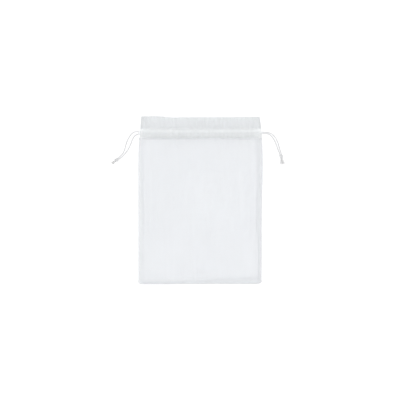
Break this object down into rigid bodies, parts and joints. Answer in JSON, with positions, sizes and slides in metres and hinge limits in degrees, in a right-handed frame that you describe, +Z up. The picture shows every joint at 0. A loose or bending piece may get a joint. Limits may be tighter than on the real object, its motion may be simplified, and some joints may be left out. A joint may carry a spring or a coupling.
{
  "type": "drawstring mesh produce bag",
  "caption": "Flat rectangular bag of fine translucent mesh with a ruffled mouth, sewn side and bottom seams, and two opposed drawcords that run round the mouth and end in knots.",
  "frame": {"origin": "middle of the bag's footprint, on the surface that its back lies on", "axes": "+Y towards the mouth, +X to the right seen from the front, +Z up out of the front panel"},
  "size_m": [0.3104, 0.3, 0.0116],
  "materials": {
    "mesh_cloth": "matte",
    "thread": "matte",
    "cord": "matte"
  },
  "bodies": {
    "root": {"front_panel": "mesh_cloth", "back_panel": "mesh_cloth", "left_side_seam": "mesh_cloth", "right_side_seam": "mesh_cloth", "bottom_seam": "mesh_cloth", "back_header": "mesh_cloth", "front_header": "mesh_cloth", "back_left_slit_hem": "mesh_cloth", "back_right_slit_hem": "mesh_cloth", "front_left_slit_hem": "mesh_cloth", "front_right_slit_hem": "mesh_cloth", "front_channel_outer": "mesh_cloth", "front_channel_inner": "mesh_cloth", "back_channel_outer": "mesh_cloth", "back_channel_inner": "mesh_cloth", "left_seam_overlock": "thread", "right_seam_overlock": "thread", "bottom_seam_overlock": "thread", "left_bartack": "thread", "right_bartack": "thread", "front_upper_stitching": "thread", "front_lower_stitching": "thread", "back_upper_stitching": "thread", "back_lower_stitching": "thread"},
    "left_drawcord": {"left_cord_loop": "cord", "left_cord_front_tail": "cord", "left_cord_back_tail": "cord", "left_knot": "cord", "left_frayed_ends": "cord"},
    "right_drawcord": {"right_cord_loop": "cord", "right_cord_front_tail": "cord", "right_cord_back_tail": "cord", "right_knot": "cord", "right_frayed_ends": "cord"}
  },
  "joints": [
    {"name": "left_draw", "type": "slide", "parent": "root", "child": "left_drawcord", "axis": [-1, 0, 0], "range_m": [0, 0.065], "deforming": ["front_channel_inner", "back_channel_inner"]},
    {"name": "right_draw", "type": "slide", "parent": "root", "child": "right_drawcord", "axis": [1, 0, 0], "range_m": [0, 0.065], "deforming": ["front_channel_inner", "back_channel_inner"]}
  ]
}
